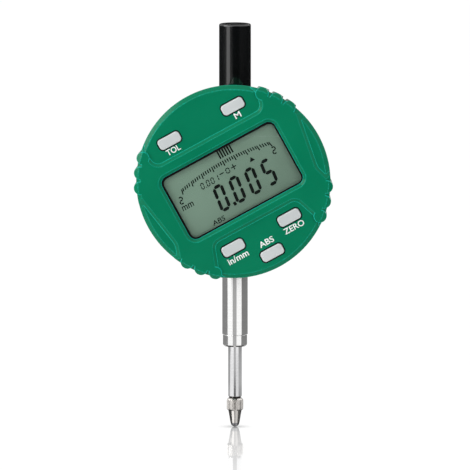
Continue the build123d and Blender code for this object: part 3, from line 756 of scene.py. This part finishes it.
def text_shape(words, box, depth, bold, lean=0.0):
    """Words as a thin closed mesh that fills a box of the head's plane."""
    curve = bpy.data.curves.new("words", "FONT")
    curve.body = words
    curve.offset = bold
    curve.resolution_u = 4
    curve.shear = lean
    holder = bpy.data.objects.new("words", curve)
    mesh = bpy.data.meshes.new_from_object(holder)
    flat = np.empty(len(mesh.vertices) * 3)
    mesh.vertices.foreach_get("co", flat)
    flat = flat.reshape(-1, 3)[:, :2]
    low, high = flat.min(0), flat.max(0)
    left, right, bottom, top = box
    flat = (flat - low) / (high - low) * (right - left, top - bottom) + (left, bottom)
    faces = [list(polygon.vertices) for polygon in mesh.polygons]
    corners = flat[faces[0]]
    turn = np.cross(corners[1] - corners[0], corners[2] - corners[1])
    faces = faces if turn > 0 else [face[::-1] for face in faces]
    edges = dict.fromkeys(edge for face in faces for edge in zip(face, face[1:] + face[:1]))
    rims = [(here, there) for here, there in edges if (there, here) not in edges]
    count = len(flat)
    sides = [[there, here, count + here, count + there] for here, there in rims]
    backs = [[count + corner for corner in face[::-1]] for face in faces]
    points = np.concatenate([stood(flat, depth + INK), stood(flat, depth)])
    bpy.data.objects.remove(holder)
    bpy.data.curves.remove(curve)
    bpy.data.meshes.remove(mesh)
    return points, faces + backs + sides


def scale_ticks():
    """The display's arc of ticks: even steps along a chord, dropped and leaned by the arc."""
    ticks = []
    for index in range(2 * TICKS_EACH_SIDE + 1):
        x = ARC_MIDDLE + (index - TICKS_EACH_SIDE) * TICK_PITCH
        lean = (x - ARC_MIDDLE) / ARC_RADIUS
        top = ARC_TOP - ARC_RADIUS + (ARC_RADIUS**2 - (x - ARC_MIDDLE) ** 2) ** 0.5
        tall = LONG_TICK if index % 5 == 0 else SHORT_TICK
        ticks.append((x - lean * tall, top - tall, TICK_WIDTH, tall, -lean))
    return tuple(ticks)


def display_marks():
    """The lit marks on the display's glass: digits, ticks, signs and words."""
    low, high = GLASS_DEPTH, GLASS_DEPTH + INK
    digits = [
        seven_segment(digit, x, kind["base"], kind["size"], kind["stroke"], kind["slant"])
        for kind in (READING, STEP, ZERO_MARK, SCALE_ENDS)
        for digit, x in kind["digits"]
    ]
    bars = scale_ticks() + POINTER_BARS + PLUS + MINUS + READING_POINT
    shapes = [
        prisms([bar(*values) for values in bars], low, high),
        prisms(np.concatenate(digits), low, high),
        prisms([ARROW], low, high),
        prisms([bar(*values) for values in STEP_POINT], low, high),
    ]
    shapes += [text_shape(words, box, low, DISPLAY_BOLD, DISPLAY_LEAN)
               for words, box in DISPLAY_WORDS.items()]
    return mesh_piece("display_marks", *joined(shapes), segment_black)


def key_labels():
    """The words at the keys, on the head's sunk fields."""
    shapes = [text_shape(words, box, FIELD_DEPTH, KEY_BOLD) for words, box in KEY_WORDS.items()]
    return mesh_piece("key_labels", *joined(shapes), label_white)


def window_border():
    """The black border printed on the lens, inside the window's bevel, and wider at the left and
    top as painted shadow of the window's edge.
    """
    outer = rounded_outline(WINDOW_SIZE, WINDOW_ROUND) + WINDOW_PLACE
    inner = rounded_outline(np.array(WINDOW_SIZE) - 2 * BORDER, WINDOW_ROUND - BORDER)
    # Painted shadow: the inner edge is shifted right and down, so the black is wider at the left
    # and top
    inner += np.array(WINDOW_PLACE) + BORDER_SHADOW_SHIFT
    shape = rimmed_ring(outer, inner, LENS_DEPTH, LENS_DEPTH + INK)
    return mesh_piece("window_border", *shape, border_black)


def spring_coils():
    """The return spring, as a coil of wire.

    Its centre line goes round the spindle at one radius. It climbs a little more than the wire's
    thickness in its first and last turn and evenly between them. The wire's section is a circle
    square to that line, and a flat face closes each end.
    """
    (_, _, low), (_, _, high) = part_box("return_spring")
    turns = np.linspace(0.0, COIL_TURNS, COIL_TURNS * COIL_STEPS + 1)
    start, end = low + WIRE_RADIUS, high - WIRE_RADIUS
    climb = np.interp(turns, (0.0, 1.0, COIL_TURNS - 1.0, COIL_TURNS),
                      (start, start + DEAD_CLIMB, end - DEAD_CLIMB, end))
    angle = 2 * pi * turns
    flat = np.zeros_like(angle)
    radial = np.stack([np.cos(angle), np.sin(angle), flat], axis=-1)
    centre = COIL_RADIUS * radial + np.stack([flat, flat, climb], axis=-1)
    along = np.gradient(centre, axis=0)
    along /= np.linalg.norm(along, axis=-1, keepdims=True)
    upward = np.cross(radial, along)
    round_wire = np.linspace(0.0, 2 * pi, WIRE_SIDES, endpoint=False)[None, :, None]
    spread = np.cos(round_wire) * radial[:, None] + np.sin(round_wire) * upward[:, None]
    points = centre[:, None] + WIRE_RADIUS * spread
    index = np.arange(points.shape[0] * WIRE_SIDES).reshape(-1, WIRE_SIDES)
    after = np.roll(index, -1, axis=1)
    faces = np.stack([index[:-1], index[1:], after[1:], after[:-1]], -1).reshape(-1, 4).tolist()
    faces += [index[0].tolist(), index[-1][::-1].tolist()]
    coils = mesh_piece("spring_coils", points, faces, finishes["spring_steel"], smooth=True)
    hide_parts("return_spring")
    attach(coils, "case")
    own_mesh(coils)


spring_coils()
for piece, slot_name in (
    (display_marks(), "frame_plastic"),
    (key_labels(), "key_grey"),
    (window_border(), "frame_plastic"),
):
    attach(piece, "head")


# Stage, light and camera. Angles are in degrees, lengths in metres and powers in watts.

CAMERA_TARGET = (0.0, 0.0, 0.0218)
CAMERA_AZIMUTH, CAMERA_ELEVATION = 1.8, 6.5
CAMERA_DISTANCE = 4.0
CAMERA_LENS = 973.0

# Azimuth, elevation, distance, width, height, power, and whether gloss sees the lamp
LAMP_TARGET = (0.0, 0.0, 0.03)
LAMPS = {
    "key_lamp": (-75.0, 24.0, 0.9, 0.45, 0.7, 4.0, True),
    "strip_lamp": (-35.0, 22.0, 1.0, 0.9, 0.05, 2.2, True),
    "top_lamp": (0.0, 75.0, 0.9, 0.6, 0.6, 0.6, False),
    "fill_lamp": (46.0, 12.0, 0.7, 0.3, 0.3, 0.85, False),
}

WHITE = (1.0, 1.0, 1.0, 1.0)
FILL_STRENGTH, SEEN_STRENGTH = 0.5, 1.0

# The floor: the share of its tone that is its own, and how that tone falls off under the object,
# from openness to strength
FLOOR_HALF = 3.0
OWN_SHARE = 0.92
SHADOW_REACH = 0.0055
SHADOW_RAMP = (0.70, 0.95, 0.3, 1.06)

# The floor's mirror: how it fades over the slant, sideways, towards the reader and behind the tip
MIRROR_ROUGHNESS = 0.04
SLANT_FADE = (0.835, 0.855)
SIDE_FADE = (0.004, 0.011, 1.0, 0.0)
FRONT_FADE = (-0.2, 0.0, 0.0, 0.55)
BACK_FADE = (0.005, 0.02, 1.0, 0.0)

# Cards that only gloss sees. The floor's run from one radius to another, in sectors that have a
# first and last azimuth and a grey.
CARD_POINTS = 24
CARD_LIFT = 0.0004
CARD_GREY = 0.02
TIP_ZONE, COLLAR_ZONE, NECK_ZONE, SPINDLE_ZONE, STEM_ZONE, FACE_ZONE, CAP_ZONE = (
    (0.0, 0.03), (0.03, 0.1), (0.1, 0.135), (0.135, 0.2), (0.2, 0.425), (0.425, 0.9), (0.9, 1.6)
)
FLOOR_CARDS = (
    (TIP_ZONE, ((-180, -60, 0.05), (-15, 10, 0.3), (10, 55, 0.6), (55, 180, 0.08))),
    (COLLAR_ZONE, ((-180, -90, 0.45), (-90, -19, 0.9), (-19, 16, 0.12), (16, 64, 0.75),
                   (64, 180, 0.35))),
    (NECK_ZONE, ((-180, -90, 0.35), (-90, -19, 0.85), (-19, 16, 0.3), (16, 64, 0.75),
                 (64, 180, 0.45))),
    (SPINDLE_ZONE, ((-180, -90, 0.35), (-90, -19, 0.85), (-19, 16, 0.5), (16, 64, 0.75),
                    (64, 180, 0.4))),
    (STEM_ZONE, ((-180, -69, 0.24), (-19, 16, 0.42), (64, 180, 0.22))),
    (FACE_ZONE, ((-180, -75, 0.2), (-35, 180, 0.02))),
    (CAP_ZONE, ((-180, -62, 0.005), (-62, -16, 1.6), (-16, 180, 0.005))),
)


def toward(azimuth, elevation):
    """Unit direction from the object: azimuth turns from the reader's side towards +X."""
    turn, lift = radians(azimuth), radians(elevation)
    return np.array([sin(turn) * cos(lift), -cos(turn) * cos(lift), sin(lift)])


def aimed(name, data, target, distance, direction):
    """A camera or lamp at a distance from its target in a direction, looking back at it."""
    place = Vector(np.array(target) + distance * direction)
    thing = bpy.data.objects.new(name, data)
    bpy.context.scene.collection.objects.link(thing)
    thing.location = place
    thing.rotation_euler = (Vector(target) - place).to_track_quat("-Z", "Y").to_euler()
    return thing


def add_camera():
    """A long lens at the reader's side, a little above the object."""
    data = bpy.data.cameras.new("camera")
    data.sensor_width = 36.0
    data.lens = CAMERA_LENS
    data.clip_end = 50.0
    direction = toward(CAMERA_AZIMUTH, CAMERA_ELEVATION)
    camera = aimed("camera", data, CAMERA_TARGET, CAMERA_DISTANCE, direction)
    bpy.context.scene.camera = camera


def add_lamp(name, azimuth, elevation, distance, wide, tall, power, in_gloss):
    """A rectangular lamp that looks at the object."""
    data = bpy.data.lights.new(name, "AREA")
    data.shape = "RECTANGLE"
    data.size = wide
    data.size_y = tall
    data.energy = power
    lamp = aimed(name, data, LAMP_TARGET, distance, toward(azimuth, elevation))
    lamp.visible_glossy = in_gloss


def even(tree, kind, strength):
    """An even white emission or background of a strength."""
    made = node(tree, kind)
    feed(tree, made.inputs["Color"], WHITE)
    feed(tree, made.inputs["Strength"], strength)
    return made.outputs[0]


def add_world():
    """A white background for rays that see it, and an even fill for all others."""
    world = bpy.data.worlds.new("studio")
    bpy.context.scene.world = world
    world.use_nodes = True
    tree = world.node_tree
    tree.nodes.clear()
    fill, seen = (even(tree, "ShaderNodeBackground", strength)
                  for strength in (FILL_STRENGTH, SEEN_STRENGTH))
    result = node(tree, "ShaderNodeOutputWorld")
    feed(tree, result.inputs["Surface"], layered(tree, seen_ray(tree), fill, seen))


def floor_material():
    """White floor: most of its tone is its own, the rest is lit.

    Its own tone is darker, as a painted shadow, where little open space is left over it. A faint
    mirror runs in a narrow strip from under the tip towards the reader, and shows only at a low
    slant, as on a polished table. Its share is the product of its four fades.
    """
    material, tree, shader = start_material(
        "floor_white", Base_Color=(0.9, 0.9, 0.9, 1.0), Roughness=0.6, Specular_IOR_Level=0.0
    )
    # Painted shadow: the floor's own glowing tone is darkened where the object closes over it
    openness = node(tree, "ShaderNodeAmbientOcclusion", samples=16)
    feed(tree, openness.inputs["Distance"], SHADOW_REACH)
    own_tone = ramp(tree, openness.outputs["AO"], *SHADOW_RAMP)
    own = even(tree, "ShaderNodeEmission", own_tone)
    own_share = worked(tree, "MULTIPLY", seen_ray(tree), OWN_SHARE)
    white = layered(tree, own_share, shader.outputs[0], own)

    mirror = node(tree, "ShaderNodeBsdfGlossy")
    feed(tree, mirror.inputs["Color"], WHITE)
    feed(tree, mirror.inputs["Roughness"], MIRROR_ROUGHNESS)
    slant = node(tree, "ShaderNodeLayerWeight")
    feed(tree, slant.inputs["Blend"], 0.5)
    apart = node(tree, "ShaderNodeSeparateXYZ")
    feed(tree, apart.inputs[0], own_place(tree))
    aside = worked(tree, "ABSOLUTE", apart.outputs["X"])
    share = ramp(tree, slant.outputs["Facing"], *SLANT_FADE)
    for measure, fade in ((aside, SIDE_FADE), (apart.outputs["Y"], FRONT_FADE),
                          (apart.outputs["Y"], BACK_FADE)):
        share = worked(tree, "MULTIPLY", share, ramp(tree, measure, *fade))
    surfaced(tree, layered(tree, share, white, mirror.outputs[0]))
    return material


def add_floor():
    """One wide face at the height of the tip."""
    corners = ((-1, -1), (1, -1), (1, 1), (-1, 1))
    points = np.array([(FLOOR_HALF * x, FLOOR_HALF * y, TIP) for x, y in corners])
    floor = mesh_piece("floor", points, [(0, 1, 2, 3)], floor_material())


def card_material(name, grey):
    """An even grey on the front of a card. Its back lets rays through."""
    material, tree, shader = start_material(name)
    tree.nodes.remove(shader)
    side = node(tree, "ShaderNodeNewGeometry").outputs["Backfacing"]
    through = node(tree, "ShaderNodeBsdfTransparent").outputs[0]
    surfaced(tree, layered(tree, side, even(tree, "ShaderNodeEmission", grey), through))
    return material


def card_edge(start, end):
    """Points of a circle 1 m round the object, from one azimuth to another."""
    return np.array([toward(turn, 0.0) for turn in np.linspace(start, end, CARD_POINTS)])


def add_card(name, rims, grey, smooth=False):
    """A card between two rims of equal point count, seen by gloss alone."""
    index = np.arange(CARD_POINTS - 1)
    after = index + 1
    faces = np.stack([index, index + CARD_POINTS, after + CARD_POINTS, after], -1)
    card = mesh_piece(name, np.concatenate(rims), faces, card_material(name, grey), smooth)
    card.visible_camera = card.visible_diffuse = card.visible_shadow = False
    card.visible_volume_scatter = False


def studio_card(name, start, end, low, high):
    """A curved card round the object: azimuth along it, height up it."""
    edge = card_edge(start, end)
    add_card(name, [edge + (0, 0, low), edge + (0, 0, high)], CARD_GREY, smooth=True)


def floor_card(name, start, end, near, far, grey):
    """A flat wedge just over the floor, from one azimuth and radius to another."""
    edge = card_edge(start, end)
    lift = (0, 0, TIP + CARD_LIFT)
    add_card(name, [edge * near + lift, edge * far + lift], grey)


add_camera()
add_world()
add_floor()
for name, values in LAMPS.items():
    add_lamp(name, *values)
for number, (zone, sectors) in enumerate(FLOOR_CARDS):
    for start, end, grey in sectors:
        floor_card(f"card_{number}_{start}", start, end, *zone, grey)
studio_card("front_card", -35.0, 34.0, TIP, 0.5)
for side, start, end in (("right", 34.0, 165.0), ("left", -165.0, -62.0)):
    studio_card(f"{side}_low_card", start, end, TIP, 0.05)
    studio_card(f"{side}_high_card", start, end, 0.13, 0.2)
studio_card("back_card", 150.0, 210.0, 0.13, 0.5)
bpy.context.scene.view_settings.view_transform = "Standard"
